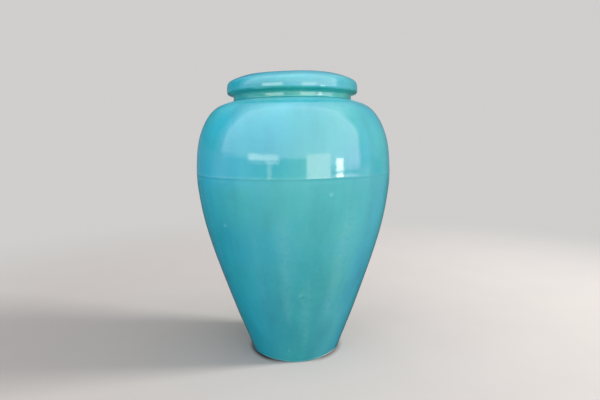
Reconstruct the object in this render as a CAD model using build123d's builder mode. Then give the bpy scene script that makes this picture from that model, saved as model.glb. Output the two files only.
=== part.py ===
from build123d import *
from math import cos, radians, sin, tan
from typing import NamedTuple
import os

# Free-standing oil jar of glazed earthenware: a wide-shouldered body on a small
# foot, a short undercut neck and a thick rolled rim.  It has no handles.
#
# The clay is made in sections joined with slip: a floor disc, a lower body, a
# shoulder, a neck collar and a rolled rim.  One glaze coat covers the outside
# and another lines the inside.
#
# Units are millimetres.  The axis of the jar is Z, and the origin is the centre
# of the foot, on the surface that the jar stands on.  Every section is drawn in
# the XZ plane as (radius, height) and revolved about Z.

os.makedirs("parts", exist_ok=True)

# ---------------------------------------------------------------- dimensions
HEIGHT = 508.0              # ground to the crest of the rim
GLAZE = 1.2                 # thickness of both glaze coats
WALL = 12.0                 # clay wall of the body
SLIP = 1.2                  # thickness of the slip in each joint

# Foot and floor
FOOT_RADIUS = 81.24         # radius at which the body profile meets the ground
FOOT_BARE = 1.8             # height of the lower end of the finished outer profile
FOOT_BORE = 66.0            # inner radius of the standing ring
FOOT_BEVEL = 0.8            # bevel around the outer standing edge
LEDGE_Z = 8.0               # ledge inside the foot that carries the floor disc
LEDGE_RADIUS = 73.0         # outer radius of that ledge
DISC_BOTTOM = 4.0           # the disc is recessed above the ground
DISC_TOP = 18.0
DISC_RADIUS = LEDGE_RADIUS - SLIP
DISC_STEP_RADIUS = FOOT_BORE - SLIP     # narrower underside, inside the ring
DISC_STEP_Z = LEDGE_Z + SLIP
FLOOR_FLAT = 60.0           # radius of the flat part of the glazed floor

# Seam between lower body and shoulder, a half lap
SEAM_Z = 335.2              # top edge of the lower body, outside
SEAM_RADIUS = 175.80        # finished radius just under the seam
RIDGE_RADIUS = 176.50       # finished radius of the ridge just over the seam
LAP_RADIUS = 168.6          # outer face of the tongue on the lower body
LAP_HEIGHT = 12.0           # height of that tongue
LAP_TOP = SEAM_Z + LAP_HEIGHT
SHOULDER_Z = SEAM_Z + SLIP              # lower edge of the shoulder
LAP_SEAT_RADIUS = LAP_RADIUS + SLIP     # step in the shoulder around the tongue
LAP_SEAT_Z = LAP_TOP + SLIP
SEAM_BORE = SEAM_RADIUS - GLAZE - WALL  # inside of the clay wall at the seam

# Neck
NECK_RADIUS = 106.4         # outside of the neck, glazed
NECK_BORE = 90.0            # inside of the neck, clay
NECK_CLAY = NECK_RADIUS - GLAZE
NECK_FOOT_Z = 462.90        # top of the finished shoulder profile
NECK_STEP = (0.6, 0.9)      # radial and vertical step from there to the neck
NECK_SEAT_Z = 457.0         # ledge in the shoulder that carries the collar
COLLAR_BOTTOM = NECK_SEAT_Z + SLIP
NECK_TOP_Z = 470.4          # where the neck turns out into the rim
NOSE = 8.0                  # radius where the shoulder turns up into the bore
NOSE_Z = 455.4              # height of the centre of that radius
NOSE_CENTRE = (NECK_BORE + NOSE, NOSE_Z)
TONGUE_INNER = 94.5         # tongue on the collar, inside the rim
TONGUE_OUTER = 101.5
TONGUE_TOP_Z = 480.5

# Rim and mouth
RIM_RADIUS = 117.75         # widest part of the rim
UNDER_ANGLE = 22.0          # slope of the underside, outside the neck
UNDER_FILLET = 2.0          # hollow where the neck turns into the underside
EDGE_ROUND = 4.2            # lower edge of the rim
BORE_ANGLE = 30.0           # slope of the underside, inside the neck
BORE_ROUND = 5.0            # both bends of that surface
CREST_RADIUS = 76.5         # crest of the rim
MOUTH_RADIUS = 71.0         # clear radius of the mouth
MOUTH_CLAY = MOUTH_RADIUS + GLAZE
MOUTH_LAND_TOP = 501.0      # top of the cylindrical land in the mouth

# The underside of the rim is a hollow, a sloping line and a rounded edge.
UNDER_TURN = 90 - UNDER_ANGLE
HOLLOW_CENTRE = (NECK_RADIUS + UNDER_FILLET, NECK_TOP_Z)
EDGE_CENTRE = (
    RIM_RADIUS - EDGE_ROUND,
    NECK_TOP_Z
    + (RIM_RADIUS - EDGE_ROUND - NECK_RADIUS - UNDER_FILLET) * tan(radians(UNDER_ANGLE))
    + (UNDER_FILLET + EDGE_ROUND) / cos(radians(UNDER_ANGLE)),
)

# Inside the neck it is a bend, a sloping line and a bend into the mouth.
BORE_TURN = 90 - BORE_ANGLE
LOW_BEND_CENTRE = (NECK_BORE - BORE_ROUND, NECK_TOP_Z)
MOUTH_LAND_BOTTOM = NECK_TOP_Z + (
    2 * BORE_ROUND
    + (NECK_BORE - MOUTH_CLAY - 2 * BORE_ROUND) * sin(radians(BORE_ANGLE))
) / cos(radians(BORE_ANGLE))
HIGH_BEND_CENTRE = (MOUTH_CLAY + BORE_ROUND, MOUTH_LAND_BOTTOM)


# ------------------------------------------------------------------- helpers
class Profile(NamedTuple):
    """Points of a spline as (radius, height), and its direction at each end.

    The lengths of the direction vectors also shape the spline.
    """
    points: list
    directions: list


def draw(profile):
    """Spline through a profile, added to the line being built, if there is one."""
    return Spline(*profile.points, tangents=profile.directions, tangent_scalars=[1, 1])


def parallel(profile, distance, count):
    """Profile at a constant distance on the left-hand side of another."""
    curve = draw(profile)
    points = []
    for i in range(count + 1):
        here, along = curve @ (i / count), curve % (i / count)
        points.append((here.X - distance * along.Y, here.Y + distance * along.X))
    first, last = curve % 0, curve % 1
    return Profile(points, [(first.X, first.Y), (last.X, last.Y)])


def rim_underside(coat):
    """Outer underside of the rim, a coat inside the finish; returns its ends."""
    hollow = CenterArc(HOLLOW_CENTRE, UNDER_FILLET + coat, 180, -UNDER_TURN)
    edge = CenterArc(EDGE_CENTRE, EDGE_ROUND - coat, -UNDER_TURN, UNDER_TURN)
    Line(hollow @ 1, edge @ 0)
    return hollow @ 0, edge @ 1


def rim_bore(coat):
    """Inner underside of the rim, a coat over the clay; returns its ends."""
    low_bend = CenterArc(LOW_BEND_CENTRE, BORE_ROUND - coat, 0, BORE_TURN)
    high_bend = CenterArc(HIGH_BEND_CENTRE, BORE_ROUND + coat, 180, BORE_TURN)
    Line(low_bend @ 1, high_bend @ 1)
    return low_bend @ 0, high_bend @ 0


def outside(lower, upper, top, lip, neck_foot, coat):
    """Whole outer outline, from the foot over the rim to the mouth land."""
    draw(lower)
    Line(lower.points[-1], upper.points[0])
    draw(upper)
    neck_top, rim_side = rim_underside(coat)
    Polyline(upper.points[-1], neck_foot, neck_top)
    Line(rim_side, top.points[0])
    draw(top)
    draw(lip)


def save(part, name):
    part.label = name
    export_step(part, f"parts/{name}.step")


def make_ring(name, corners):
    """Revolve a straight-sided section and save it."""
    with BuildPart() as ring:
        with BuildSketch(Plane.XZ):
            with BuildLine():
                Polyline(*corners, close=True)
            make_face()
        revolve(axis=Axis.Z)
    save(ring.part, name)


# --------------------------------------------------- finished outer profiles
# Columns of each table: radius, height.
FLARE_POINT = (93.96, 33.71)    # the wall is straight from the ground towards here
FOOT_SLOPE = (FLARE_POINT[0] - FOOT_RADIUS) / FLARE_POINT[1]    # radius per height

# Foot to seam
LOWER = Profile(
    [
        (FOOT_RADIUS + FOOT_SLOPE * FOOT_BARE, FOOT_BARE),
        FLARE_POINT,
        (108.36, 71.70),
        (121.73, 109.71),
        (134.62, 147.71),
        (147.04, 185.72),
        (158.16, 223.71),
        (167.17, 261.71),
        (173.20, 299.72),
        (SEAM_RADIUS, SEAM_Z),
    ],
    [(FOOT_SLOPE, 1), (0, 1)],
)

# Seam ridge to the foot of the neck
UPPER = Profile(
    [
        (RIDGE_RADIUS, SHOULDER_Z),
        (176.36, 338.30),
        (175.98, 341.80),
        (175.62, 346.50),
        (175.30, 351.50),
        (173.72, 374.44),
        (169.76, 396.52),
        (163.70, 414.79),
        (156.60, 429.34),
        (147.66, 442.00),
        (137.50, 451.02),
        (124.85, 457.35),
        (111.50, 461.65),
        (NECK_RADIUS + NECK_STEP[0], NECK_FOOT_Z),
    ],
    [(0, 1), (-1, 0.25)],
)

# Widest part of the rim to its crest
TOP = Profile(
    [
        (RIM_RADIUS, 482.60),
        (117.42, 488.20),
        (115.80, 493.30),
        (112.10, 496.75),
        (106.46, 499.60),
        (99.00, 502.55),
        (89.65, 505.60),
        (82.50, 507.30),
        (CREST_RADIUS, HEIGHT),
    ],
    [(0, 1), (-1, 0)],
)

# Turn of the rim into the mouth
LIP = Profile(
    [(CREST_RADIUS, HEIGHT), (72.70, 506.00), (MOUTH_RADIUS, MOUTH_LAND_TOP)],
    [(-1, 0), (0, -1)],
)

# ------------------------------------------------------------- clay profiles
# Outer clay surface, one coat inside the finished profiles
lower_clay = parallel(LOWER, GLAZE, 36)
upper_clay = parallel(UPPER, GLAZE, 48)
top_clay = parallel(TOP, GLAZE, 24)
lip_clay = parallel(LIP, GLAZE, 8)
foot_start = lower_clay.points[0]
seat_radius, seat_edge = upper_clay.points[-1]   # upper edge of the neck seat
bevel_radius = foot_start[0] - FOOT_SLOPE * (foot_start[1] - FOOT_BEVEL)

# Inner clay surface: the wall is even up to the shoulder and thickens towards
# the neck, where a rounded nose turns up into the bore.  The even wall is
# sampled only between these limits, and the spline runs free beyond them.
EVEN_BOTTOM_Z = 50
EVEN_TOP_Z = 325
EVEN_LAP_GAP = 8            # gap over the lap before the shoulder samples start
EVEN_MIN_RADIUS = 128       # inside this radius the shoulder thickens
THICK_SHOULDER = [(118.0, 445.2), (107.5, 447.0)]

even_lower = parallel(LOWER, GLAZE + WALL, 36).points
even_upper = parallel(UPPER, GLAZE + WALL, 36).points
inner_low = Profile(
    [
        (LEDGE_RADIUS, DISC_TOP),
        *[p for p in even_lower if EVEN_BOTTOM_Z < p[1] < EVEN_TOP_Z],
        (SEAM_BORE, LAP_TOP),
    ],
    [(0.32, 1), (0, 1)],
)
inner_high = Profile(
    [
        (SEAM_BORE, LAP_SEAT_Z),
        *[p for p in even_upper if p[1] > LAP_TOP + EVEN_LAP_GAP and p[0] > EVEN_MIN_RADIUS],
        *THICK_SHOULDER,
        (NOSE_CENTRE[0], NOSE_Z - NOSE),
    ],
    [(0, 1), (-1, 0)],
)

# Finished surface of the inner glaze, which pools in the corner of the floor
POOL_POINT = (72.0, 25.0)
LINING_BOTTOM_Z = 38        # the wall samples start above this height
LINING_LAP_GAP = 4          # no samples this close to the top of the lap

lining = Profile(
    [
        (FLOOR_FLAT, DISC_TOP + GLAZE),
        POOL_POINT,
        *[
            p
            for p in parallel(inner_low, GLAZE, 36).points
            if LINING_BOTTOM_Z < p[1] < LAP_TOP - LINING_LAP_GAP
        ],
        *[p for p in parallel(inner_high, GLAZE, 36).points if p[1] > LAP_TOP + LINING_LAP_GAP],
    ],
    [(1, 0), (-1, 0)],
)

# ---------------------------------------------------------------- floor disc
# Dropped in from above, it rests on the ledge inside the foot.
make_ring("base_disc", [
    (0, DISC_BOTTOM),
    (DISC_STEP_RADIUS, DISC_BOTTOM),
    (DISC_STEP_RADIUS, DISC_STEP_Z),
    (DISC_RADIUS, DISC_STEP_Z),
    (DISC_RADIUS, DISC_TOP),
    (0, DISC_TOP),
])

# Slip that beds the floor disc on the ledge
make_ring("base_slip", [
    (DISC_STEP_RADIUS, DISC_BOTTOM),
    (FOOT_BORE, DISC_BOTTOM),
    (FOOT_BORE, LEDGE_Z),
    (LEDGE_RADIUS, LEDGE_Z),
    (LEDGE_RADIUS, DISC_TOP),
    (DISC_RADIUS, DISC_TOP),
    (DISC_RADIUS, DISC_STEP_Z),
    (DISC_STEP_RADIUS, DISC_STEP_Z),
])

# ---------------------------------------------------------------- lower body
# Standing ring, flaring wall, and the tongue of the half lap at the top.
with BuildPart() as lower_body:
    with BuildSketch(Plane.XZ):
        with BuildLine():
            draw(lower_clay)
            Polyline(
                lower_clay.points[-1],
                (LAP_RADIUS, SEAM_Z),
                (LAP_RADIUS, LAP_TOP),
                inner_low.points[-1],
            )
            draw(inner_low)
            Polyline(
                inner_low.points[0],
                (LEDGE_RADIUS, LEDGE_Z),
                (FOOT_BORE, LEDGE_Z),
                (FOOT_BORE, 0),
                (bevel_radius - FOOT_BEVEL, 0),
                (bevel_radius, FOOT_BEVEL),
                foot_start,
            )
        make_face()
    revolve(axis=Axis.Z)
save(lower_body.part, "lower_body")

# Slip in the half lap, squeezed out flush with both sections
make_ring("seam_slip", [
    lower_clay.points[-1],
    upper_clay.points[0],
    (LAP_SEAT_RADIUS, SHOULDER_Z),
    (LAP_SEAT_RADIUS, LAP_SEAT_Z),
    inner_high.points[0],
    inner_low.points[-1],
    (LAP_RADIUS, LAP_TOP),
    (LAP_RADIUS, SEAM_Z),
])

# ------------------------------------------------------------------ shoulder
# Its lower edge laps over the tongue, and its upper edge carries the collar.
with BuildPart() as shoulder:
    with BuildSketch(Plane.XZ):
        with BuildLine():
            draw(upper_clay)
            Polyline(
                upper_clay.points[-1],
                (seat_radius, NECK_SEAT_Z),
                (NECK_BORE, NECK_SEAT_Z),
                (NECK_BORE, NOSE_Z),
            )
            CenterArc(NOSE_CENTRE, NOSE, 180, 90)
            draw(inner_high)
            Polyline(
                inner_high.points[0],
                (LAP_SEAT_RADIUS, LAP_SEAT_Z),
                (LAP_SEAT_RADIUS, SHOULDER_Z),
                upper_clay.points[0],
            )
        make_face()
    revolve(axis=Axis.Z)
save(shoulder.part, "shoulder")

# Slip that beds the collar in its seat
make_ring("neck_slip", [
    (NECK_BORE, NECK_SEAT_Z),
    (seat_radius, NECK_SEAT_Z),
    (seat_radius, seat_edge),
    (NECK_CLAY, seat_edge),
    (NECK_CLAY, COLLAR_BOTTOM),
    (NECK_BORE, COLLAR_BOTTOM),
])

# --------------------------------------------------------------- neck collar
# A short ring with a tongue that the rim is rolled over.
make_ring("neck_collar", [
    (NECK_BORE, COLLAR_BOTTOM),
    (NECK_CLAY, COLLAR_BOTTOM),
    (NECK_CLAY, NECK_TOP_Z),
    (TONGUE_OUTER, NECK_TOP_Z),
    (TONGUE_OUTER, TONGUE_TOP_Z),
    (TONGUE_INNER, TONGUE_TOP_Z),
    (TONGUE_INNER, NECK_TOP_Z),
    (NECK_BORE, NECK_TOP_Z),
])

# ---------------------------------------------------------------- rolled rim
# A heavy ring that overhangs the neck outside and inside, flattened on top.
with BuildPart() as rolled_rim:
    with BuildSketch(Plane.XZ):
        with BuildLine():
            outer_neck_top, rim_side = rim_underside(GLAZE)
            Line(rim_side, top_clay.points[0])
            draw(top_clay)
            draw(lip_clay)
            inner_neck_top, land_bottom = rim_bore(0)
            Line(land_bottom, lip_clay.points[-1])
            Polyline(
                inner_neck_top,
                (TONGUE_INNER, NECK_TOP_Z),
                (TONGUE_INNER, TONGUE_TOP_Z),
                (TONGUE_OUTER, TONGUE_TOP_Z),
                (TONGUE_OUTER, NECK_TOP_Z),
                outer_neck_top,
            )
        make_face()
    revolve(axis=Axis.Z)
save(rolled_rim.part, "rolled_rim")

# --------------------------------------------------------------- outer glaze
# One coat from just above the ground, over the rim, to the foot of the mouth:
# the finished outline less the outline of the clay, both closed on the axis.
with BuildPart() as outer_glaze:
    with BuildSketch(Plane.XZ):
        with BuildLine():
            finished_foot = (NECK_RADIUS, NECK_FOOT_Z + NECK_STEP[1])
            outside(LOWER, UPPER, TOP, LIP, finished_foot, coat=0)
            Polyline(
                LIP.points[-1],
                (MOUTH_RADIUS, MOUTH_LAND_BOTTOM),
                (0, MOUTH_LAND_BOTTOM),
                (0, foot_start[1]),
                foot_start,
                LOWER.points[0],
            )
        make_face()
        with BuildLine():
            clay_foot = (NECK_CLAY, seat_edge)
            outside(lower_clay, upper_clay, top_clay, lip_clay, clay_foot, coat=GLAZE)
            Polyline(
                lip_clay.points[-1],
                (MOUTH_CLAY, MOUTH_LAND_BOTTOM),
                (0, MOUTH_LAND_BOTTOM),
                (0, foot_start[1]),
                foot_start,
            )
        make_face(mode=Mode.SUBTRACT)
    revolve(axis=Axis.Z)
save(outer_glaze.part, "outer_glaze")

# --------------------------------------------------------------- inner glaze
# Lines the floor, the wall and the neck, up to the foot of the mouth.
with BuildPart() as inner_glaze:
    with BuildSketch(Plane.XZ):
        with BuildLine():
            # Surface against the clay
            Polyline((0, DISC_TOP), (DISC_RADIUS, DISC_TOP), inner_low.points[0])
            draw(inner_low)
            Line(inner_low.points[-1], inner_high.points[0])
            draw(inner_high)
            CenterArc(NOSE_CENTRE, NOSE, 180, 90)
            Polyline(
                (NECK_BORE, NOSE_Z),
                (NECK_BORE, NECK_SEAT_Z),
                (NECK_BORE, COLLAR_BOTTOM),
                (NECK_BORE, NECK_TOP_Z),
            )
            _, clay_end = rim_bore(0)
            # Finished surface
            glazed_neck_top, glazed_end = rim_bore(GLAZE)
            Line(clay_end, glazed_end)
            Line(glazed_neck_top, (NECK_BORE - GLAZE, NOSE_Z))
            CenterArc(NOSE_CENTRE, NOSE + GLAZE, 180, 90)
            draw(lining)
            Polyline(lining.points[0], (0, DISC_TOP + GLAZE), (0, DISC_TOP))
        make_face()
    revolve(axis=Axis.Z)
save(inner_glaze.part, "inner_glaze")
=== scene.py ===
"""A glazed earthenware vase: turquoise glaze coats, bare clay pieces, studio and camera.

The vase stands on z = 0 with its axis on Z.  The camera looks from the front (-Y),
with +X to its right.  Angles round the vase are in degrees from +X, so -90 is the front.
"""
import math

import bpy
import numpy as np
from mathutils import Matrix, Vector


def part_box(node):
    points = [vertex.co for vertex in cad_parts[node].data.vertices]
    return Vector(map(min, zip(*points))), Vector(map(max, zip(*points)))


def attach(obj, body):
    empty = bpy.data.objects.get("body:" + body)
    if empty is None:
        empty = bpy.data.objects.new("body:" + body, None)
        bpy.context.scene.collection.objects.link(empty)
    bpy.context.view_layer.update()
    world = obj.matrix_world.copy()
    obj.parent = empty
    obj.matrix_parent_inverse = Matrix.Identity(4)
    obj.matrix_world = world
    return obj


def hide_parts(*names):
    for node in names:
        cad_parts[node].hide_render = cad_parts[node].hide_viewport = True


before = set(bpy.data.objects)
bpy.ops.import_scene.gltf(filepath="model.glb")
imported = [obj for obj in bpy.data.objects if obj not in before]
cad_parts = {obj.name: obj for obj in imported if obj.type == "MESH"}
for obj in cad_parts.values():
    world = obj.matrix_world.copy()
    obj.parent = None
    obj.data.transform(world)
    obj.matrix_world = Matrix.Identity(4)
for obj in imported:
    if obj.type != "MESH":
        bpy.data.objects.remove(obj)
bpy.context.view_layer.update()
SCENE = bpy.context.scene

# --------------------------------------------------------------------------
# Driving dimensions, in millimetres as (radius, height)
# --------------------------------------------------------------------------
RIM_TOP = 508.0             # crest of the rim
RIM_RADIUS = 117.75
MOUTH_RADIUS = 71.0
NECK_RADIUS = 106.4         # outside of the neck
NECK_TOP = 470.4
SEAM_Z = 336.4              # squeezed ridge round the belly
FOOT_RADIUS = 81.24         # at the ground
FOOT_SLOPE = (93.96 - FOOT_RADIUS) / 33.71
FOOT_BLEND_TOP = 26.0       # the coat's uneven lower edge fades out by here
COAT_BOTTOM = 0.35          # lowest possible edge of the outer coat
COAT_THICKNESS = 1.08
SEGMENTS = 216

box_low, box_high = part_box("outer_glaze")
METRES = box_high.z / RIM_TOP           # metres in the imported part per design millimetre
THETA = np.arange(SEGMENTS) * (2 * math.pi / SEGMENTS)


# --------------------------------------------------------------------------
# Curve tools
# --------------------------------------------------------------------------
def cubic(points, start, end, step):
    """Samples of the clamped cubic spline through points, about step apart."""
    points = np.array(points, float)
    chords = np.hypot(*np.diff(points, axis=0).T)
    count = len(points)
    matrix = np.zeros((count, count))
    target = np.zeros((count, 2))
    matrix[0, 0] = matrix[-1, -1] = 1.0
    target[0] = np.array(start, float) / np.hypot(*start)
    target[-1] = np.array(end, float) / np.hypot(*end)
    for i in range(1, count - 1):
        before, after = chords[i - 1], chords[i]
        matrix[i, i - 1:i + 2] = after, 2 * (before + after), before
        target[i] = 3 * (
            after * (points[i] - points[i - 1]) / before
            + before * (points[i + 1] - points[i]) / after
        )
    tangents = np.linalg.solve(matrix, target)
    runs = []
    for i in range(count - 1):
        pieces = max(2, int(math.ceil(chords[i] / step)))
        part = np.linspace(0, 1, pieces + 1)[:-1, None]
        runs.append(
            (2 * part**3 - 3 * part**2 + 1) * points[i]
            + (part**3 - 2 * part**2 + part) * chords[i] * tangents[i]
            + (-2 * part**3 + 3 * part**2) * points[i + 1]
            + (part**3 - part**2) * chords[i] * tangents[i + 1]
        )
    return np.vstack(runs + [points[-1:]])


def arc(centre, radius, first, last, count):
    """Points of an arc, angles in degrees."""
    angles = np.radians(np.linspace(first, last, count))
    return np.column_stack(
        [centre[0] + radius * np.cos(angles), centre[1] + radius * np.sin(angles)]
    )


def chain(*parts):
    """Joins runs of points, dropping the repeated ones."""
    joined = [parts[0]]
    for part in parts[1:]:
        if np.hypot(*(part[0] - joined[-1][-1])) < 1e-6:
            part = part[1:]
        joined.append(part)
    return np.vstack(joined)


def bend_rise(across, radii, slope):
    """Height between the centres of two opposite bends joined by a straight at slope
    degrees; across is their distance in radius, radii the sum of their bend radii."""
    slope = math.radians(slope)
    return (radii + across * math.sin(slope)) / math.cos(slope)


def spaced(points, zones):
    """Resamples a profile; zones lists (top height, ring spacing), bottom to top."""
    lengths = np.concatenate([[0], np.cumsum(np.hypot(*np.diff(points, axis=0).T))])

    def spacing(z):
        return next(step for top, step in zones if z < top)

    stations, here = [0.0], 0.0
    while here < lengths[-1]:
        here += spacing(np.interp(here, lengths, points[:, 1]))
        stations.append(min(here, lengths[-1]))
    if len(stations) > 2 and stations[-1] - stations[-2] < 0.2 * spacing(points[-1, 1]):
        stations.pop(-2)
    return np.column_stack([np.interp(stations, lengths, column) for column in points.T])


def normals_of(points):
    """Unit normals on the right-hand side of the walk: outwards where it climbs."""
    tangents = np.gradient(points, axis=0)
    tangents /= np.hypot(*tangents.T)[:, None]
    return np.column_stack([tangents[:, 1], -tangents[:, 0]])


# --------------------------------------------------------------------------
# Outside profile, from the foot up and over the rim into the mouth
# --------------------------------------------------------------------------
def foot_point(z):
    return (FOOT_RADIUS + FOOT_SLOPE * z, z)


BODY_POINTS = [             # (radius, height)
    foot_point(1.8), (93.96, 33.71), (108.36, 71.70), (121.73, 109.71),
    (134.62, 147.71), (147.04, 185.72), (158.16, 223.71), (167.17, 261.71),
    (173.20, 299.72), (175.72, 326.10), (175.84, 334.60), (175.45, 350.35),
    (173.72, 374.44), (169.76, 396.52), (163.70, 414.79), (156.60, 429.34),
    (147.66, 442.00), (137.50, 451.02), (124.85, 457.35), (111.50, 461.65),
    (108.6, 462.45),
]
RIM_POINTS = [
    (RIM_RADIUS, 482.60), (117.42, 488.20), (115.80, 493.30), (112.10, 496.75),
    (106.46, 499.60), (99.00, 502.55), (89.65, 505.60), (82.50, 507.30), (76.5, RIM_TOP),
]
LIP_POINTS = [(76.5, RIM_TOP), (72.70, 506.00), (MOUTH_RADIUS, 501.0)]
CREASE_BEND = 2.35          # bend radius between shoulder and neck
HOLLOW_BEND = 2.0           # bend radius from the neck out to the rim's underside
EDGE_BEND = 4.2             # bend radius of the rim's lower edge
UNDERSIDE_SLOPE = 22        # degrees

# The lining's bends under the mouth
NECK_LINING_RADIUS = 88.8
LOW_BEND, HIGH_BEND = 3.8, 6.2
LOW_BEND_RADIUS = NECK_LINING_RADIUS - LOW_BEND         # radii of the bend centres
HIGH_BEND_RADIUS = MOUTH_RADIUS + HIGH_BEND
MOUTH_FOOT = NECK_TOP + bend_rise(
    LOW_BEND_RADIUS - HIGH_BEND_RADIUS, LOW_BEND + HIGH_BEND, slope=30
)

body = cubic(BODY_POINTS, (FOOT_SLOPE, 1), (-1, 0.25), 0.5)


def outside_profile():
    crease = arc((NECK_RADIUS + CREASE_BEND, 464.85), CREASE_BEND, -105, -180, 9)
    hollow_radius = NECK_RADIUS + HOLLOW_BEND
    edge_radius = RIM_RADIUS - EDGE_BEND
    edge_z = NECK_TOP + bend_rise(
        edge_radius - hollow_radius, HOLLOW_BEND + EDGE_BEND, UNDERSIDE_SLOPE
    )
    hollow = arc((hollow_radius, NECK_TOP), HOLLOW_BEND, 180, 90 + UNDERSIDE_SLOPE, 9)
    edge = arc((edge_radius, edge_z), EDGE_BEND, UNDERSIDE_SLOPE - 90, 0, 17)
    return chain(
        np.linspace(foot_point(COAT_BOTTOM), body[0], 5),
        body,
        crease,
        np.linspace((NECK_RADIUS, 464.9), (NECK_RADIUS, NECK_TOP), 8),
        hollow,
        np.linspace(hollow[-1], edge[0], 14),
        edge,
        np.linspace((RIM_RADIUS, edge_z), RIM_POINTS[0], 8),
        cubic(RIM_POINTS, (0, 1), (-1, 0), 0.5),
        cubic(LIP_POINTS, (-1, 0), (0, -1), 0.5),
        np.linspace(LIP_POINTS[-1], (MOUTH_RADIUS, MOUTH_FOOT), 14),
    )


# --------------------------------------------------------------------------
# Lining profile, from the axis over the floor and up to the foot of the mouth
# --------------------------------------------------------------------------
LINING_FLOOR = 19.2
AXIS_HOLE = 0.4             # radius of the ring closed by a cap at the axis
SHOULDER_BEND = 9.2         # bend radius from the shoulder up into the neck
LINING_POINTS = [           # (radius, height)
    (60.0, LINING_FLOOR), (72.0, 25.0), (82.53, 44.76), (89.46, 62.29), (107.2, 110.0),
    (120.3, 149.0), (132.8, 187.4), (144.3, 226.5), (153.3, 265.0), (159.1, 302.0),
    (161.41, 334.95), (161.23, 349.29), (159.4, 374.0), (155.9, 393.0),
    (150.2, 411.5), (143.3, 425.0), (135.57, 433.88), (126.92, 440.60),
    (116.54, 444.32), (105.49, 445.96), (98.0, 446.2),
]


def lining_profile():
    shoulder_radius, shoulder_low = LINING_POINTS[-1]
    shoulder_z = shoulder_low + SHOULDER_BEND
    low_bend = arc((LOW_BEND_RADIUS, NECK_TOP), LOW_BEND, 0, 60, 7)
    high_bend = arc((HIGH_BEND_RADIUS, MOUTH_FOOT), HIGH_BEND, 240, 180, 9)
    return chain(
        np.linspace((AXIS_HOLE, LINING_FLOOR), LINING_POINTS[0], 30),
        cubic(LINING_POINTS, (1, 0), (-1, 0), 2.0),
        arc((shoulder_radius, shoulder_z), SHOULDER_BEND, 270, 180, 12),
        np.linspace((NECK_LINING_RADIUS, shoulder_z), (NECK_LINING_RADIUS, NECK_TOP), 7),
        low_bend,
        np.linspace(low_bend[-1], high_bend[0], 8),
        high_bend,
    )


# --------------------------------------------------------------------------
# Hand-made unevenness: slow waves of the wall, faint throwing rings, faint
# upright flutes on the lower body, and the squeezed ridge at the seam.
# --------------------------------------------------------------------------
RNG = np.random.RandomState(20)


def any_phase():
    return RNG.uniform(0, 2 * math.pi)


def wave_set(counts, amplitude, falloff):
    """(waves round the vase, amplitude, phase) for each count."""
    return [(count, amplitude / count**falloff, any_phase()) for count in counts]


WOBBLE = [                  # (waves round, amplitude, phase, twist per mm of height)
    (count, 0.16 / count**0.55, any_phase(), RNG.uniform(-0.012, 0.012))
    for count in range(2, 9)
]
FLUTES = [                  # same columns
    (count, 0.020 * RNG.uniform(0.5, 1.0), any_phase(), RNG.uniform(-0.006, 0.006))
    for count in (13, 17, 22, 27, 31, 38, 45, 53)
]
THROWING_RINGS = [          # (pitch, amplitude, phase, waves round, phase of those waves)
    (RNG.uniform(9, 32), 0.018 * RNG.uniform(0.4, 1.0), any_phase(), RNG.randint(1, 4),
     any_phase())
    for _ in range(9)
]
SEAM_WAVES = wave_set((1, 2, 3, 5, 8, 13, 21, 34), amplitude=0.42, falloff=0.6)
RIDGE_WAVES = wave_set((2, 3, 5, 7, 11, 17, 29, 41), amplitude=0.30, falloff=0.4)
LIP_WAVES = wave_set((2, 3, 4, 6, 9, 13), amplitude=0.30, falloff=0.5)
BEAD_WAVES = wave_set((1, 2, 3, 5, 8, 12, 19, 27), amplitude=0.34, falloff=0.45)


def smooth(start, end, value):
    """0 at start, 1 at end, eased between; start may lie above end."""
    part = np.clip((value - start) / (end - start), 0, 1)
    return part * part * (3 - 2 * part)


def band(value, rise=None, fall=None):
    """1 between the two (start, end) ramps and 0 beyond them; None leaves a side open."""
    inside = 1.0
    if rise:
        inside = inside * smooth(*rise, value)
    if fall:
        inside = inside * (1 - smooth(*fall, value))
    return inside


def bell(value, centre, width):
    return np.exp(-(((value - centre) / width) ** 2))


def waves(table):
    return sum(amplitude * np.cos(count * THETA + phase) for count, amplitude, phase in table)


def hump(angle, width):
    """A smooth hump round the vase, 1 at angle; both in degrees."""
    away = np.angle(np.exp(1j * (THETA - np.radians(angle))))
    return bell(away, 0.0, math.radians(width))


def unevenness(z):
    """Outward displacement of the wall for a column of heights."""
    total = np.zeros((len(z), SEGMENTS))
    calm_neck = 0.35 + 0.65 * (1 - smooth(440, 470, z))
    calm_foot = smooth(0, 60, z) * 0.6 + 0.4
    for count, amplitude, phase, twist in WOBBLE:
        wave = np.cos(count * THETA + phase + twist * z)
        total += amplitude * wave * calm_neck * calm_foot
    lower_body = band(z, (10, 60), (300, 332))
    for count, amplitude, phase, twist in FLUTES:
        total += amplitude * np.cos(count * THETA + phase + twist * z) * lower_body
    for pitch, amplitude, phase, count, wander in THROWING_RINGS:
        sway = 0.6 * np.cos(count * THETA + wander)
        wave = np.cos(2 * math.pi * z / pitch + phase + sway)
        total += amplitude * wave * smooth(5, 30, z)
    return total


def ridge(z):
    """The squeezed ridge: a slow flare above the seam, cut back sharply below."""
    height = np.clip(0.38 + 0.28 * waves(RIDGE_WAVES), 0.14, 0.72)
    above = z - SEAM_Z
    flare = np.exp(-np.clip(above, 0, None) / 8.0) * (1 - smooth(16, 24, above))
    return height * smooth(-4.2, 0.7, above) * flare * (z < 360)


# --------------------------------------------------------------------------
# Mesh tools
# --------------------------------------------------------------------------
def add_mesh(name, verts, faces):
    mesh = bpy.data.meshes.new(name)
    mesh.from_pydata(verts.tolist(), [], faces)
    mesh.validate()
    mesh.polygons.foreach_set("use_smooth", np.ones(len(mesh.polygons), bool))
    mesh.update()
    made = bpy.data.objects.new(name, mesh)
    SCENE.collection.objects.link(made)
    return made


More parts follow.
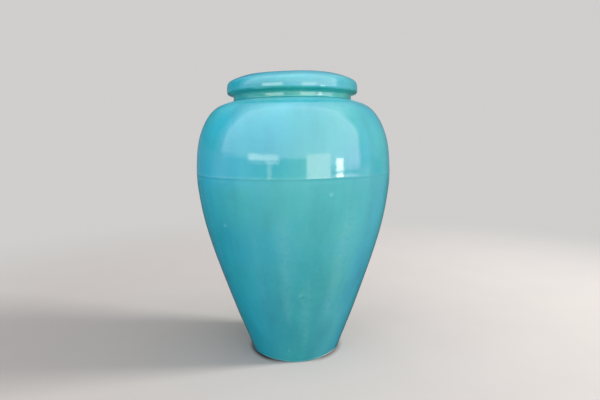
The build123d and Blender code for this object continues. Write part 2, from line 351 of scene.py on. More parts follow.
def revolve(rings):
    """Vertices in metres from (rings, segments, 2) millimetres of radius and height."""
    radius = rings[..., 0] * METRES
    height = rings[..., 1] * METRES
    return np.stack(
        [radius * np.cos(THETA), radius * np.sin(THETA), height], axis=-1
    ).reshape(-1, 3)


def quads(ring_count, closed=False):
    faces = []
    for i in range(ring_count if closed else ring_count - 1):
        low, high = i * SEGMENTS, ((i + 1) % ring_count) * SEGMENTS
        for j in range(SEGMENTS):
            k = (j + 1) % SEGMENTS
            faces.append((low + j, low + k, high + k, high + j))
    return faces


def paint(target, layers):
    """Stores one number per vertex in each named layer, for the material to read."""
    for name, values in layers.items():
        layer = target.data.attributes.new(name, "FLOAT", "POINT")
        layer.data.foreach_set("value", np.ascontiguousarray(values, dtype=np.float32).ravel())


def round_the_axis(profile):
    """The same profile at every segment."""
    return np.repeat(profile[:, None, :], SEGMENTS, axis=1)


# --------------------------------------------------------------------------
# Outer coat
# --------------------------------------------------------------------------
# (top height of the zone, ring spacing)
FACE_ZONES = [
    (7, 0.5), (20, 1.3), (328, 3.0), (332, 1.1), (340, 0.5), (348, 1.1), (425, 3.0),
    (459, 1.9), (467, 0.6), (math.inf, 1.1),
]
BACK_ZONES = [(6, 1.2), (455, 8.0), (math.inf, 2.6)]


def outer_face(profile):
    """Visible face of the outer coat with its unevenness."""
    normals = normals_of(profile)
    radius, z = profile[:, :1], profile[:, 1:]
    push = unevenness(z) + ridge(z)
    seam_lift = waves(SEAM_WAVES) * bell(z, SEAM_Z, 16.0)
    rim_lift = (
        0.45 * np.cos(2 * THETA + 0.8)
        + 0.25 * np.cos(3 * THETA + 2.1)
        + 0.12 * np.cos(5 * THETA)
    )
    # the lower edge of the rim wanders a little, as a rolled edge does
    nick = 0.9 * hump(-133, 8) - 0.9 * hump(-117, 6)
    edge_wander = np.minimum(waves(LIP_WAVES) + nick, 0.85)
    edge_wander = edge_wander * bell(z, 476.5, 3.6) * smooth(109, 115, radius)
    face = np.empty((len(profile), SEGMENTS, 2))
    face[..., 0] = radius + push * normals[:, :1]
    face[..., 1] = (
        z + push * normals[:, 1:] + seam_lift + rim_lift * smooth(470, 500, z) + edge_wander
    )
    return face


def bottom_edge_lift():
    """How far the coat stops short of the ground, round the vase."""
    lift = np.clip(0.45 + 0.6 * waves(BEAD_WAVES), 0.05, 1.4)
    for amount, angle, width in ((2.3, -40, 24), (2.1, -128, 20), (1.3, 118, 16)):
        lift = lift + amount * hump(angle, width)
    return lift * (1 - 0.7 * hump(-88, 15))


def raise_foot(rings, profile, lift):
    """Slides the lowest rings up along the slope of the foot."""
    share = 1 - smooth(COAT_BOTTOM, FOOT_BLEND_TOP, profile[:, 1])[:, None]
    rings[..., 1] += lift * share
    rings[..., 0] += lift * share * FOOT_SLOPE


def outer_rings(edge_lift):
    """Closed loop of rings: face, back downwards, then the rounded lower edge."""
    outside = outside_profile()
    profile = spaced(outside, FACE_ZONES)
    face = outer_face(profile)
    raise_foot(face, profile, edge_lift)
    # a fat bead along the lower edge
    bead = bell(face[..., 1], COAT_BOTTOM + edge_lift + 1.5, 1.5) * 0.42
    face[..., 0] += bead * (0.65 + 0.35 * np.cos(7 * THETA + 1.0))
    under_bead = [face[0] + np.array(offset) for offset in ((-0.92, -0.04), (-0.40, -0.26))]

    profile = spaced(outside, BACK_ZONES)
    back = round_the_axis(profile - normals_of(profile) * COAT_THICKNESS)
    raise_foot(back, profile, edge_lift + 0.3)
    return np.concatenate([face, back[::-1], under_bead], axis=0)


# --------------------------------------------------------------------------
# Painted layers of the outer coat
# --------------------------------------------------------------------------
# Pale runs down the wall: (angle, lean in degrees per mm, width, from, to, amount)
RUNS = [
    (-96, 0.0, 3.6, 95, 275, 0.34), (-61, 0.030, 4.6, 85, 285, 0.32),
    (-83, -0.01, 4.2, 40, 160, 0.30), (-113, 0.01, 2.6, 120, 250, 0.14),
    (-146, 0.0, 2.4, 190, 330, 0.20),
]
for _ in range(11):
    low_end = RNG.uniform(40, 170)
    RUNS.append((
        RNG.uniform(-12, 205), RNG.uniform(-0.02, 0.02), RNG.uniform(2.4, 5.0),
        low_end, low_end + RNG.uniform(90, 190), RNG.uniform(0.14, 0.34),
    ))
# Patches: (amount, angle, width, rise over heights, fall over heights)
HUE_PATCHES = [             # + bluer, - greener
    (0.31, -152, 27, (20, 230), (310, 400)),
    (0.25, -34, 17, None, (250, 370)),
    (-0.18, -82, 30, None, (130, 270)),
    (0.16, 62, 34, (30, 120), (250, 370)),
    (-0.12, 128, 26, None, (200, 330)),
    (0.14, -46, 7, (60, 100), (190, 240)),
]
# tone patches are painted light and shade: lighter patches stand in for light, deeper ones for
# shade
TONE_AND_SHADING_PATCHES = [            # + lighter, - deeper
    (0.11, -140, 30, (385, 420), (448, 462)),
    (0.10, -44, 14, (320, 350), (400, 430)),
    (-0.06, -72, 18, (385, 420), (448, 462)),
    (0.08, -152, 12, (436, 442), (452, 458)),
    (-0.065, -85, 45, (5, 60), (215, 300)),
    (0.05, -155, 20, (130, 200), (300, 360)),
    (0.08, -145, 34, (476, 480), None),
]


def patches(table, z):
    return sum(
        amount * hump(angle, width) * band(z, rise, fall)
        for amount, angle, width, rise, fall in table
    )


def outer_layers(rings, edge_lift):
    """Where the coat is thin (with painted highlights), pooled (with painted shade), tinted,
    painted lighter and darker, bare or dull, one number per vertex.
    """
    radius, z = rings[..., 0], rings[..., 1]
    above_seam = z - (SEAM_Z + waves(SEAM_WAVES))
    above_edge = z - (COAT_BOTTOM + edge_lift)
    neck = band(z, (462.0, 464.0), (476.0, 479.5)) * (radius < 117.7)
    rim_underside = band(z, (469.0, 472.0), (476.0, 478.5)) * smooth(117.5, 114.5, radius)

    # thin over the ridge, the lower bead, the rim and the top of the shoulder; the pale lines
    # over the ridge and the bead are partly painted highlights
    ridge_share = np.clip(0.75 + 0.9 * waves(RIDGE_WAVES), 0.25, 1.3)
    thin_and_highlight = bell(above_seam, 1.4, 1.3) * 0.62 * ridge_share
    thin_and_highlight += bell(above_edge, 1.1, 1.15)
    thin_and_highlight += bell(z, 498.0, 3.2) * bell(radius, 109.5, 5.0) * 0.28
    thin_and_highlight += band(radius, (107.5, 110.0), (124, 140)) * (z > 445) * (z < 463.5) * 0.95
    # painted light on the inner part of the rim's underside
    thin_and_highlight += rim_underside * smooth(113.5, 107.5, radius) * 0.6
    for angle, lean, width, low, high, amount in RUNS:
        stretch = band(z, (low - 30, low + 30), (high - 30, high + 30))
        thin_and_highlight += amount * hump(angle + lean * (z - 200), width) * stretch

    # pooled below the ridge, in the crease of the neck, over the bead, under the rim; below the
    # ridge, in the crease and under the rim this is partly painted shade
    pool_and_shade = bell(above_seam, -2.6, 2.0) * 0.14 * (z < 350)
    pool_and_shade += bell(z, 463.1, 0.9) * smooth(112, 108, radius) * 0.9
    pool_and_shade += bell(above_edge, 4.4, 1.6) * 0.5
    # painted shade on the rim's underside, darkest at its outer edge and on the front left
    pool_and_shade += rim_underside * smooth(107.5, 114.5, radius) * (0.45 + 0.75 * hump(-122, 17))

    # greener on the neck, at the shoulder's inner edge and on the front of the rim; on the neck
    # this is painted green bounce light from the glaze around it
    hue = patches(HUE_PATCHES, z)
    hue -= neck * (0.27 + 0.14 * hump(-66, 34))
    hue -= 0.14 * smooth(111, 108.5, radius) * (z < 463) * (z > 445)
    hue -= 0.17 * hump(-66, 20) * smooth(479, 483, z) * (radius > 112)

    # painted light and shade in the tone: lighter neck, with a deeper patch on its right
    tone_and_shading = patches(TONE_AND_SHADING_PATCHES, z) + 0.07 * neck
    tone_and_shading -= 0.20 * hump(-22, 13) * band(z, (454, 458), (476.0, 479.0)) * (radius < 117.7)

    # red follows the hue, and is held back on the left of the lower body
    red = -0.9 * np.clip(hue, 0, None) + 0.8 * np.clip(-hue, 0, None)
    red -= 0.38 * hump(-143, 32) * band(z, fall=(240, 330)) * (1 - np.clip(hue, 0, 0.3) * 2)

    # bare clay shows through the coat's edge, front right
    bare = bell(above_edge, 0.7, 1.7) * hump(-42, 19) * (z < 12)

    # less mirror-like in the sheltered ring round the neck
    soft = band(radius, (106.0, 108.0), (124, 141)) * (z > 445) * (z < 463.6)
    soft = soft + 0.45 * rim_underside
    return {
        "thin_and_highlight": np.clip(thin_and_highlight, 0, 1.3),
        "red": red,
        "pool_and_shade": np.clip(pool_and_shade, 0, 1.2),
        "hue": hue,
        "tone_and_shading": tone_and_shading,
        "bare": np.clip(bare, 0, 1),
        "soft": np.clip(soft, 0, 1),
    }


def build_outer_coat():
    edge_lift = bottom_edge_lift()
    rings = outer_rings(edge_lift)
    coat = add_mesh("outer_glaze_coat", revolve(rings), quads(len(rings), closed=True))
    paint(coat, outer_layers(rings, edge_lift))
    return coat


# --------------------------------------------------------------------------
# Inner coat
# --------------------------------------------------------------------------
LINING_ZONES = [(440, 4.0), (math.inf, 1.6)]
MOUTH_BLEND = (470, 484)    # over these heights the lining takes up the outer coat's waves


def build_inner_coat():
    profile = spaced(lining_profile(), LINING_ZONES)
    normals = normals_of(profile)
    z = profile[:, 1:]
    # the lining loosely follows the wall, and meets the outer coat at the mouth
    push = unevenness(z * 0.97 + 9.0) * 0.9 * band(z, (20, 60), MOUTH_BLEND)
    push += unevenness(np.full_like(z, MOUTH_FOOT)) * smooth(*MOUTH_BLEND, z)
    face = profile[:, None, :] + push[..., None] * normals[:, None, :]
    back = profile + normals * COAT_THICKNESS
    back[:, 0] = np.maximum(back[:, 0], AXIS_HOLE)
    rings = np.concatenate([face, round_the_axis(back)[::-1]], axis=0)

    verts = revolve(rings)
    faces = [face[::-1] for face in quads(len(rings))]
    # caps over the two tiny holes at the axis
    faces.append(tuple(range(SEGMENTS)))
    faces.append(tuple(range(len(verts) - 1, len(verts) - SEGMENTS - 1, -1)))
    coat = add_mesh("inner_glaze_coat", verts, faces)
    blank = np.zeros(len(verts))
    paint(coat, {"thin_and_highlight": blank, "pool_and_shade": bell(rings[..., 1], 22.0, 7.0) * 0.9})
    paint(coat, {name: blank for name in ("hue", "tone_and_shading", "bare", "soft", "red")})
    return coat


glaze = build_outer_coat()
liner = build_inner_coat()
for coat in (glaze, liner):
    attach(coat, "root")
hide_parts("outer_glaze")
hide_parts("inner_glaze")


# --------------------------------------------------------------------------
# Shader tools
# --------------------------------------------------------------------------
class Field:
    """An output socket that takes arithmetic and smooth steps."""

    def __init__(self, graph, socket):
        self.graph = graph
        self.socket = socket

    def __add__(self, other):
        return self.graph.maths("ADD", self, other)

    def __radd__(self, other):
        return self.graph.maths("ADD", other, self)

    def __sub__(self, other):
        return self.graph.maths("SUBTRACT", self, other)

    def __rsub__(self, other):
        return self.graph.maths("SUBTRACT", other, self)

    def __mul__(self, other):
        return self.graph.maths("MULTIPLY", self, other)

    def ease(self, start, end, to=(0.0, 1.0)):
        """Eases from to[0] where the field is start to to[1] where it is end."""
        if end < start:
            start, end, to = end, start, to[::-1]
        inputs = {
            "Value": self, "From Min": start, "From Max": end, "To Min": to[0], "To Max": to[1],
        }
        return self.graph.field("MapRange", inputs, interpolation_type="SMOOTHSTEP")


class Graph:
    """An emptied node tree and its texture coordinates."""

    def __init__(self, tree, coordinates="Object"):
        self.tree = tree
        tree.nodes.clear()
        self.coord = self.field("TexCoord", output=coordinates)

    def put(self, socket, value):
        if isinstance(value, Field):
            self.tree.links.new(value.socket, socket)
        else:
            socket.default_value = value

    def node(self, kind, inputs=None, **settings):
        made = self.tree.nodes.new("ShaderNode" + kind)
        for name, value in settings.items():
            setattr(made, name, value)
        for key, value in (inputs or {}).items():
            self.put(made.inputs[key], value)
        return made

    def field(self, kind, inputs=None, output=0, **settings):
        return Field(self, self.node(kind, inputs, **settings).outputs[output])

    def maths(self, operation, *operands, clamp=False):
        inputs = dict(enumerate(operands))
        return self.field("Math", inputs, operation=operation, use_clamp=clamp)

    def vector_maths(self, operation, *operands, output=0):
        return self.field("VectorMath", dict(enumerate(operands)), output, operation=operation)

    def split(self, vector):
        """The x, y and z of a vector."""
        return [Field(self, part) for part in self.node("SeparateXYZ", {0: vector}).outputs]

    def combine(self, red, green, blue):
        return self.field("CombineColor", {0: red, 1: green, 2: blue})

    def shifted(self, seed, stretch=(1, 1, 1)):
        inputs = {
            "Vector": self.coord, "Scale": stretch, "Location": (seed, seed * 0.7, seed * 1.3),
        }
        return self.field("Mapping", inputs)

    def noise(self, scale, seed, detail=2.0, rough=0.5, stretch=(1, 1, 1)):
        vector = self.shifted(seed, stretch)
        inputs = {"Vector": vector, "Scale": scale, "Detail": detail, "Roughness": rough}
        return self.field("TexNoise", inputs, output="Fac")

    def spots(self, scale, seed):
        """Distance to the nearest of a set of scattered points, and a number per point."""
        cells = self.node("TexVoronoi", {"Vector": self.shifted(seed), "Scale": scale})
        number = self.field("SeparateColor", {0: Field(self, cells.outputs["Color"])})
        return Field(self, cells.outputs["Distance"]), number

    def ramp(self, factor, stops):
        made = self.node("ValToRGB", {0: factor})
        elements = made.color_ramp.elements
        while len(elements) < len(stops):
            elements.new(0.5)
        for element, (position, colour) in zip(elements, stops):
            element.position = position
            element.color = (*colour, 1)
        return Field(self, made.outputs[0])

    def mix(self, factor, first, second, blend="MIX"):
        first, second = (
            colour if isinstance(colour, Field) else (*colour, 1) for colour in (first, second)
        )
        inputs = {"Factor": factor, 6: first, 7: second}
        return self.field("Mix", inputs, output=2, data_type="RGBA", blend_type=blend)

    def tint(self, colour, by):
        return self.mix(1.0, colour, by, "MULTIPLY")

    def attribute(self, name):
        return self.field(
            "Attribute", output="Fac", attribute_type="GEOMETRY", attribute_name=name
        )

    def bump(self, height, strength, distance, normal=None):
        inputs = {"Strength": strength, "Distance": distance, "Height": height}
        if normal is not None:
            inputs["Normal"] = normal
        return self.field("Bump", inputs)


def new_material(name):
    material = bpy.data.materials.new(name)
    material.use_nodes = True
    return material, Graph(material.node_tree)


def finish_material(graph, inputs):
    """One Principled shader straight to the output."""
    shader = graph.field("BsdfPrincipled", inputs)
    graph.node("OutputMaterial", {0: shader})


# --------------------------------------------------------------------------
# Glaze (lengths in metres)
# --------------------------------------------------------------------------
# pale colour of thin glaze, also used for the painted highlights
THIN_AND_HIGHLIGHT_COLOUR = (0.26, 0.62, 0.63)
BARE_COLOUR = (0.74, 0.70, 0.62)


def add_marks(graph, colour, marks):
    """Larger round marks with wavering outlines."""
    waver_x = (graph.noise(240.0, seed=12.0, rough=0.6) - 0.5) * 0.006
    waver_z = (graph.noise(260.0, seed=13.0, rough=0.6) - 0.5) * 0.006
    waver = graph.field("CombineXYZ", {0: waver_x, 2: waver_z})
    bent = graph.vector_maths("ADD", graph.coord, waver)
    for place, size, mark_colour, amount in marks:
        away = graph.vector_maths("DISTANCE", bent, place, output="Value")
        spot = away.ease(size * 0.5, size * 1.2, to=(1.0, 0.0))
        colour = graph.mix(spot * amount, colour, mark_colour)
    return colour


def glaze_material(name, deep, mid, pale, marks=()):
    material, graph = new_material(name)
    # slow mottling, runs drawn down the wall, and a fine grain
    cloud = graph.noise(9.0, seed=3.1, detail=4.0, rough=0.55)
    runs = graph.noise(24.0, seed=7.7, detail=3.0, stretch=(1, 1, 0.09))
    fine = graph.noise(150.0, seed=1.9, detail=3.0, rough=0.6)
    mottle = (cloud - 0.5) * 0.75 + (runs - 0.5) * 0.85 + (fine - 0.5) * 0.20
    mottle = graph.maths("ADD", mottle, 0.5, clamp=True)
    colour = graph.ramp(mottle, [(0.0, deep), (0.5, mid), (1.0, pale)])
    # drift between a bluer and a greener turquoise
    hue_drift = graph.noise(6.0, seed=11.0, detail=3.0)
    bluer = graph.tint(colour, (0.86, 0.98, 1.10))
    greener = graph.tint(colour, (1.10, 1.02, 0.93))
    colour = graph.mix(hue_drift.ease(0.36, 0.64), bluer, greener)
    # painted shade: darker towards the foot
    height = graph.split(graph.coord)[2]
    foot_shade_colour = graph.tint(colour, (0.92, 0.88, 0.90))
    colour = graph.mix(height.ease(0.30, 0.02), colour, foot_shade_colour)
    # painted drift of hue, and painted light and shade in the tone
    hue = graph.attribute("hue")
    lift = graph.attribute("tone_and_shading") + 1.0
    drift = graph.combine(
        red=lift * (graph.attribute("red") + 1.0),
        green=lift * (1.0 - hue * 0.15),
        blue=lift * (hue * 0.65 + 1.0),
    )
    colour = graph.tint(colour, drift)
    # thin over edges with painted highlights, deeper where it pools and in painted shade, clay
    # showing where bare
    thin_highlight_break = graph.noise(120.0, seed=6.0).ease(0.30, 0.62, to=(0.35, 1.0))
    thin_and_highlight = graph.attribute("thin_and_highlight") * thin_highlight_break
    colour = graph.mix(thin_and_highlight * 0.38, colour, THIN_AND_HIGHLIGHT_COLOUR)
    colour = graph.mix(graph.attribute("pool_and_shade") * 0.62, colour, deep)
    bare_break = graph.noise(300.0, seed=8.0).ease(0.25, 0.55, to=(0.55, 1.0))
    bare = graph.attribute("bare") * bare_break
    colour = graph.mix(bare * 0.85, colour, BARE_COLOUR)
    # pinholes: a dark pit with a paler halo, at a few of the scattered points
    near, number = graph.spots(46.0, seed=2.0)
    chosen = number.ease(0.86, 0.87)
    pit = near.ease(0.055, 0.030) * chosen
    halo = near.ease(0.11, 0.05) * chosen
    colour = graph.mix(halo * 0.22, colour, pale)
    colour = graph.mix(pit * 0.55, colour, deep)
    if marks:
        colour = add_marks(graph, colour, marks)
    # small dark specks
    near, number = graph.spots(150.0, seed=5.0)
    specks = near.ease(0.16, 0.06) * number.ease(0.80, 0.82)
    colour = graph.mix(specks * 0.16, colour, deep)
    # glossy, duller in patches, round the neck and where bare
    rough = 0.050 + graph.noise(34.0, seed=2.2, detail=3.0, rough=0.6) * 0.055
    rough = rough + graph.attribute("soft") * 0.24
    # relief: orange peel, slow ripples, pinholes
    relief = graph.bump(graph.noise(210.0, seed=4.4), strength=0.10, distance=0.0004)
    ripple = graph.noise(55.0, seed=6.6, stretch=(1, 1, 0.45))
    relief = graph.bump(ripple, strength=0.22, distance=0.0006, normal=relief)
    relief = graph.bump(pit * -1.0, strength=0.5, distance=0.0004, normal=relief)
    finish_material(graph, {
        "Base Color": colour,
        "Roughness": rough + bare * 0.35,
        "IOR": 1.5,
        "Normal": relief,
    })
    return material


# --------------------------------------------------------------------------
# Clay (lengths in metres)
# --------------------------------------------------------------------------
IRON_COLOUR = (0.13, 0.07, 0.04)
# colour of the painted shade where the clay meets the ground
GROUND_SHADE_COLOUR = (0.045, 0.032, 0.026)


def distance_from_axis(graph, x, y):
    return graph.maths("SQRT", x * x + y * y)


def clay_material(name, base, dark, light):
    material, graph = new_material(name)
    cloud = graph.noise(14.0, seed=2.0, detail=4.0, rough=0.6)
    grit = graph.noise(420.0, seed=9.0, detail=3.0, rough=0.65)
    blend = cloud * 0.6 + grit * 0.4
    colour = graph.ramp(blend, [(0.30, dark), (0.52, base), (0.72, light)])
    iron = graph.noise(900.0, seed=4.0, detail=1.0).ease(0.70, 0.76, to=(0.0, 0.8))
    colour = graph.mix(iron, colour, IRON_COLOUR)
    # painted shade: darker where the clay meets the ground
    near_ground = graph.split(graph.coord)[2].ease(0.0022, 0.0042, to=(1.0, 0.0))
    ground_shade_break = graph.noise(60.0, seed=5.0, detail=3.0, rough=0.6)
    ground_shade = near_ground * ground_shade_break.ease(0.25, 0.60, to=(0.55, 1.0))
    colour = graph.mix(ground_shade * 0.90, colour, GROUND_SHADE_COLOUR)
    # turning lines left by the wheel
    x, y, z = graph.split(graph.coord)
    lines = graph.maths("SINE", (distance_from_axis(graph, x, y) + z) * 2600.0)
    # relief: grain, turning lines, slow unevenness
    grain = graph.noise(600.0, seed=1.0, detail=4.0, rough=0.6)
    relief = graph.bump(grain, strength=0.5, distance=0.0005)
    relief = graph.bump(lines, strength=0.25, distance=0.0003, normal=relief)
    slow = graph.noise(70.0, seed=8.0, detail=3.0)
    relief = graph.bump(slow, strength=0.35, distance=0.0010, normal=relief)
    finish_material(graph, {
        "Base Color": colour,
        "Roughness": 0.72 + grit * 0.22,
        "Normal": relief,
    })
    return material


def on_wall(angle, z):
    """A point of the outside wall in metres, from degrees and millimetres."""
    radius = body[np.argmin(np.abs(body[:, 1] - z)), 0] * METRES
    angle = math.radians(angle)
    return (radius * math.cos(angle), radius * math.sin(angle), z * METRES)


MARKS = [                   # (place, size in metres, colour, amount)
    (on_wall(-132, 258), 0.0034, (0.16, 0.56, 0.60), 0.40),
    (on_wall(-85, 138), 0.0030, (0.010, 0.20, 0.27), 0.50),
    (on_wall(-86, 141), 0.0046, (0.14, 0.54, 0.57), 0.25),
    (on_wall(-78, 131), 0.0028, (0.012, 0.25, 0.30), 0.35),
    (on_wall(-74, 188), 0.0036, (0.012, 0.27, 0.33), 0.30),
    (on_wall(-97, 27), 0.0030, (0.12, 0.50, 0.54), 0.30),
    (on_wall(-88, 60), 0.0026, (0.012, 0.24, 0.32), 0.35),
    (on_wall(-71, 311), 0.0038, (0.22, 0.62, 0.58), 0.30),
    (on_wall(33, 210), 0.0036, (0.012, 0.23, 0.30), 0.40),
    (on_wall(88, 120), 0.0040, (0.15, 0.55, 0.58), 0.35),
    (on_wall(140, 280), 0.0032, (0.012, 0.22, 0.29), 0.45),
]
glaze.data.materials.append(glaze_material(
    "turquoise_glaze",
    deep=(0.012, 0.285, 0.360), mid=(0.028, 0.405, 0.470), pale=(0.070, 0.500, 0.545),
    marks=MARKS,
))
liner.data.materials.append(glaze_material(
    "turquoise_liner_glaze",
    deep=(0.010, 0.220, 0.280), mid=(0.022, 0.320, 0.375), pale=(0.055, 0.400, 0.440),
))
clay = clay_material(
    "buff_earthenware",
    base=(0.62, 0.53, 0.42), dark=(0.47, 0.38, 0.29), light=(0.74, 0.66, 0.55),
)
slip = clay_material(
    "joint_slip",
    base=(0.66, 0.58, 0.48), dark=(0.55, 0.46, 0.37), light=(0.76, 0.69, 0.60),
)
for name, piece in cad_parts.items():
    if name in ("outer_glaze", "inner_glaze"):
        continue
    is_slip = name.endswith("_slip")
    piece.data.materials.clear()
    piece.data.materials.append(slip if is_slip else clay)

# --------------------------------------------------------------------------
# Stage: a plain pale floor that fades into the background with distance
# --------------------------------------------------------------------------
BACKDROP = (0.630, 0.621, 0.609)
FLOOR_RINGS = [0.25, 0.5, 1.0, 2.0, 4.0, 8.0, 16.0, 32.0]      # radii in metres
FLOOR_SEGMENTS = 48


def floor_mesh():
    verts, faces = [(0.0, 0.0, 0.0)], []
    angles = np.arange(FLOOR_SEGMENTS) * math.tau / FLOOR_SEGMENTS
    for i, radius in enumerate(FLOOR_RINGS):
        verts += [(radius * math.cos(angle), radius * math.sin(angle), 0.0) for angle in angles]
        inner, outer = 1 + (i - 1) * FLOOR_SEGMENTS, 1 + i * FLOOR_SEGMENTS
        for j in range(FLOOR_SEGMENTS):
            k = (j + 1) % FLOOR_SEGMENTS
            if i == 0:
                faces.append((0, outer + j, outer + k))
            else:
                faces.append((inner + j, outer + j, outer + k, inner + k))
    return add_mesh("studio_floor", np.array(verts, float), faces)


def floor_material():
    material, graph = new_material("studio_paper")
    paper = graph.noise(7.0, seed=1.0, detail=3.0)
    x, y, _ = graph.split(graph.coord)
    # painted contact shadow: the dark line where the foot meets the floor, deepest on the left
    near_foot = distance_from_axis(graph, x, y).ease(0.0795, 0.0925, to=(1.0, 0.0))
    left_shade = x.ease(-0.062, -0.012, to=(0.93, 0.0))
    right_shade = x.ease(0.020, 0.056, to=(0.05, 0.60))
    contact_shadow = near_foot * (left_shade + right_shade)
    sheet = graph.ramp(paper, [(0.3, (0.362, 0.342, 0.325)), (0.7, (0.372, 0.352, 0.335))])
    surface = graph.field("BsdfPrincipled", {
        "Base Color": graph.mix(contact_shadow, sheet, (0.020, 0.017, 0.015)),
        "Roughness": 0.9,
        "Specular IOR Level": 0.15,
        "Emission Strength": 0.0,
    })
    away = graph.vector_maths("LENGTH", graph.coord, output="Value")
    glow = graph.field("Emission", {0: (*BACKDROP, 1)})
    blend = graph.field("MixShader", {0: away.ease(0.55, 1.55), 1: surface, 2: glow})
    graph.node("OutputMaterial", {0: blend})
    return material


floor = floor_mesh()
floor.data.materials.append(floor_material())
floor.visible_glossy = False            # reflections see the floor painted in the world

# --------------------------------------------------------------------------
# World: one very large soft box that covers the front half of the studio from
# just over the horizon to the zenith, a dim rear half, and window lights low in
# front.  Reflections see it at full strength, matt surfaces see less.
# --------------------------------------------------------------------------
MATT_STRENGTH = 0.30
WHITE = (1.0, 1.0, 1.0)
# (azimuths, elevations, colour, softness in azimuth and elevation), in degrees
WINDOWS = [
    ((-52, -16), (4.8, 9.8), (7.6, 7.6, 7.2), (2.0, 0.7)),
    ((-29.5, -24.0), (-3.0, 4.8), (3.4, 3.4, 3.3), (0.9, 0.5)),
    ((15, 42), (-3.0, 9.6), (7.9, 7.1, 6.9), (1.8, 0.6)),
    ((49, 57), (0.7, 5.1), (22, 21, 19.5), (0.8, 0.5)),
    ((49, 57), (-3.0, -0.5), (20, 19, 17.5), (0.8, 0.4)),
]


def grey(level):
    return (level, level, level)


def rear_half(graph, x, z, front, right):
    """Dim at eye level, brighter overhead, with a wing on the right fading backwards."""
    overhead = graph.maths("POWER", graph.maths("MAXIMUM", z, 0.0), 4.4)
    rear_left = graph.mix(overhead, (0.085, 0.155, 0.24), (2.7, 2.8, 3.1))
    rear_right = graph.mix(overhead, (0.25, 0.31, 0.38), (3.0, 2.9, 3.1))
    rear = graph.mix(right, rear_left, rear_right)
    wing = front.ease(-0.85, 0.05) * right * z.ease(-0.05, 0.12, to=(0.55, 1.0))
    return graph.mix(wing, rear, (1.6, 1.6, 1.8))


def soft_box(graph, x, z):
    across = graph.maths("DIVIDE", x + 1.0, 1.8, clamp=True)
    height = graph.maths("MAXIMUM", z, 0.0)
    left = graph.mix(height, (2.15, 2.30, 2.8), (4.1, 4.2, 4.7))
    right = graph.mix(height, (5.35, 4.9, 5.75), (4.6, 4.35, 5.0))
    return graph.mix(across, left, right)


def soft_box_cover(graph, z, front, right):
    """1 inside the soft box, 0 behind it; its edge differs left, right and overhead."""
    inset = front - z.ease(0.15, 0.50, to=(0.13, 0.0))
    left_edge = front.ease(-0.30, 0.02) * 0.45 + front.ease(-0.03, 0.035) * 0.55
    cover = graph.mix(right, left_edge, inset.ease(-0.05, 0.10))
    top_edge = front.ease(-0.52, -0.10) * 0.42 + front.ease(-0.115, -0.055) * 0.58
    return graph.mix(z.ease(0.62, 0.88), cover, top_edge)


def horizon_band(graph, azimuth, right):
    near = graph.mix(azimuth.ease(-30.0, 20.0), (1.10, 1.20, 1.35), grey(2.1))
    far_right = right * azimuth.ease(120.0, 146.0, to=(1.0, 0.15))
    far = graph.mix(far_right, (0.16, 0.22, 0.30), (0.52, 0.55, 0.60))
    return graph.mix(graph.maths("ABSOLUTE", azimuth).ease(85.0, 115.0), near, far)


def reflected_floor(graph, azimuth, elevation):
    """The floor as the glaze reflects it: brightest in front and to the right."""
    nearness = graph.maths("DIVIDE", elevation + 72.0, 67.0)
    fall = graph.maths("POWER", graph.maths("MAXIMUM", nearness, 0.0), 1.2)
    left_fade = azimuth.ease(-130.0, -5.0, to=(0.04, 1.0))
    side = left_fade * azimuth.ease(60.0, 150.0, to=(1.0, 0.06))
    level = (fall * 1.9 + 0.30) * side
    return graph.combine(red=level, green=level * 0.98, blue=level * 0.98)


def inside_span(field, span, softness):
    low, high = span
    rise = field.ease(low - softness, low + softness)
    return rise * field.ease(high + softness, high - softness)


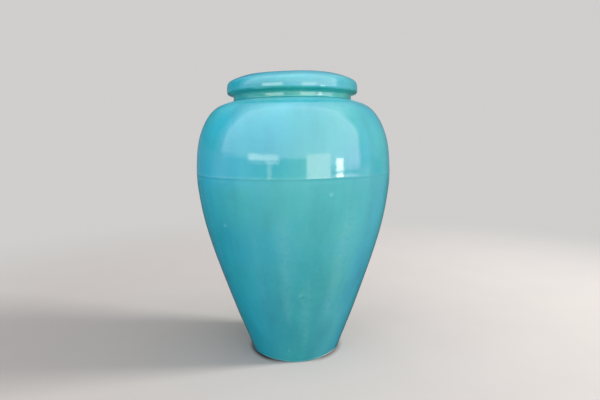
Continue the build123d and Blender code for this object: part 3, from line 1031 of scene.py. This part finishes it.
def build_world():
    world = bpy.data.worlds.new("studio")
    SCENE.world = world
    world.use_nodes = True
    graph = Graph(world.node_tree, coordinates="Generated")
    x, y, z = graph.split(graph.vector_maths("NORMALIZE", graph.coord))
    front = y * -1.0
    # degrees; azimuth is 0 in front, + to the right
    azimuth = graph.maths("ARCTAN2", x, front) * (180 / math.pi)
    elevation = graph.maths("ARCSINE", z) * (180 / math.pi)
    right = x.ease(-0.25, 0.25)

    rear = rear_half(graph, x, z, front, right)
    box = soft_box(graph, x, z)
    light = graph.mix(soft_box_cover(graph, z, front, right), rear, box)
    # the skyline is lower on the right than on the left
    skyline = x.ease(0.45, 0.80, to=(0.125, 0.015))
    over_skyline = (z - skyline).ease(-0.028, 0.028)
    light = graph.mix(over_skyline, horizon_band(graph, azimuth, right), light)
    ground = reflected_floor(graph, azimuth, elevation)
    light = graph.mix(elevation.ease(-6.5, -4.0), ground, light)
    for azimuths, elevations, colour, softness in WINDOWS:
        mask = inside_span(azimuth, azimuths, softness[0])
        mask = mask * inside_span(elevation, elevations, softness[1])
        light = graph.mix(mask, light, colour)

    path = graph.node("LightPath")
    glossy = Field(graph, path.outputs["Is Glossy Ray"])
    camera_ray = Field(graph, path.outputs["Is Camera Ray"])
    strength = glossy.ease(0.0, 1.0, to=(MATT_STRENGTH, 1.0))
    # extra light for matt surfaces only, stronger from the left and from behind
    matt_fill = graph.mix(x.ease(-0.9, 0.9), grey(1.08), grey(0.25))
    behind_fill = graph.mix(1.0, matt_fill, grey(0.55), "ADD")
    matt_fill = graph.mix(y.ease(0.0, 1.0), matt_fill, behind_fill)
    fill = graph.mix(glossy, matt_fill, grey(0.0))
    light = graph.mix(1.0, light, fill, "ADD")
    light = graph.tint(light, graph.mix(glossy, (0.99, 1.0, 0.925), WHITE))
    backdrop = tuple(level / MATT_STRENGTH for level in BACKDROP)
    seen = graph.mix(camera_ray, light, backdrop)
    background = graph.field("Background", {0: seen, 1: strength})
    graph.node("OutputWorld", {0: background})


build_world()


# --------------------------------------------------------------------------
# Lamps
# --------------------------------------------------------------------------
def softbox(name, where, target, size, power, colour):
    lamp = bpy.data.lights.new(name, "AREA")
    lamp.shape = "RECTANGLE"
    lamp.size, lamp.size_y = size
    lamp.energy = power
    lamp.color = colour
    made = bpy.data.objects.new(name, lamp)
    SCENE.collection.objects.link(made)
    made.location = where
    aim = Vector(target) - Vector(where)
    made.rotation_euler = aim.to_track_quat("-Z", "Y").to_euler()
    made.visible_glossy = False
    made.visible_camera = False
    return made


softbox(
    "side", where=(2.3, -0.6, 1.7), target=(0, 0, 0.15),
    size=(0.9, 0.9), power=7.5, colour=(1.0, 0.97, 0.93),
)
floor_key = softbox(
    "floor_key", where=(3.4, -0.15, 1.35), target=(0, 0, 0),
    size=(0.8, 0.6), power=260, colour=(1.0, 0.98, 0.96),
)
only_floor = bpy.data.collections.new("floor_key_receivers")
only_floor.objects.link(floor)
floor_key.light_linking.receiver_collection = only_floor

# --------------------------------------------------------------------------
# Camera: metres and radians
# --------------------------------------------------------------------------
CAMERA_PLACE = (0.0, -0.84044118, 0.39463382)
CAMERA_PITCH = 0.13364308               # downwards
CAMERA_YAW = -0.013887996               # to the right
CAMERA_ROLL = -0.012

camera_data = bpy.data.cameras.new("camera")
camera_data.sensor_width = 36.0
camera_data.lens = 27.0
camera_data.clip_end = 60.0
camera = bpy.data.objects.new("camera", camera_data)
SCENE.collection.objects.link(camera)
camera.location = CAMERA_PLACE
camera.rotation_euler = (
    Matrix.Rotation(CAMERA_YAW, 3, "Z")
    @ Matrix.Rotation(math.pi / 2 - CAMERA_PITCH, 3, "X")
    @ Matrix.Rotation(CAMERA_ROLL, 3, "Z")
).to_euler()
SCENE.camera = camera

SCENE.view_settings.view_transform = "Standard"
SCENE.view_settings.look = "None"
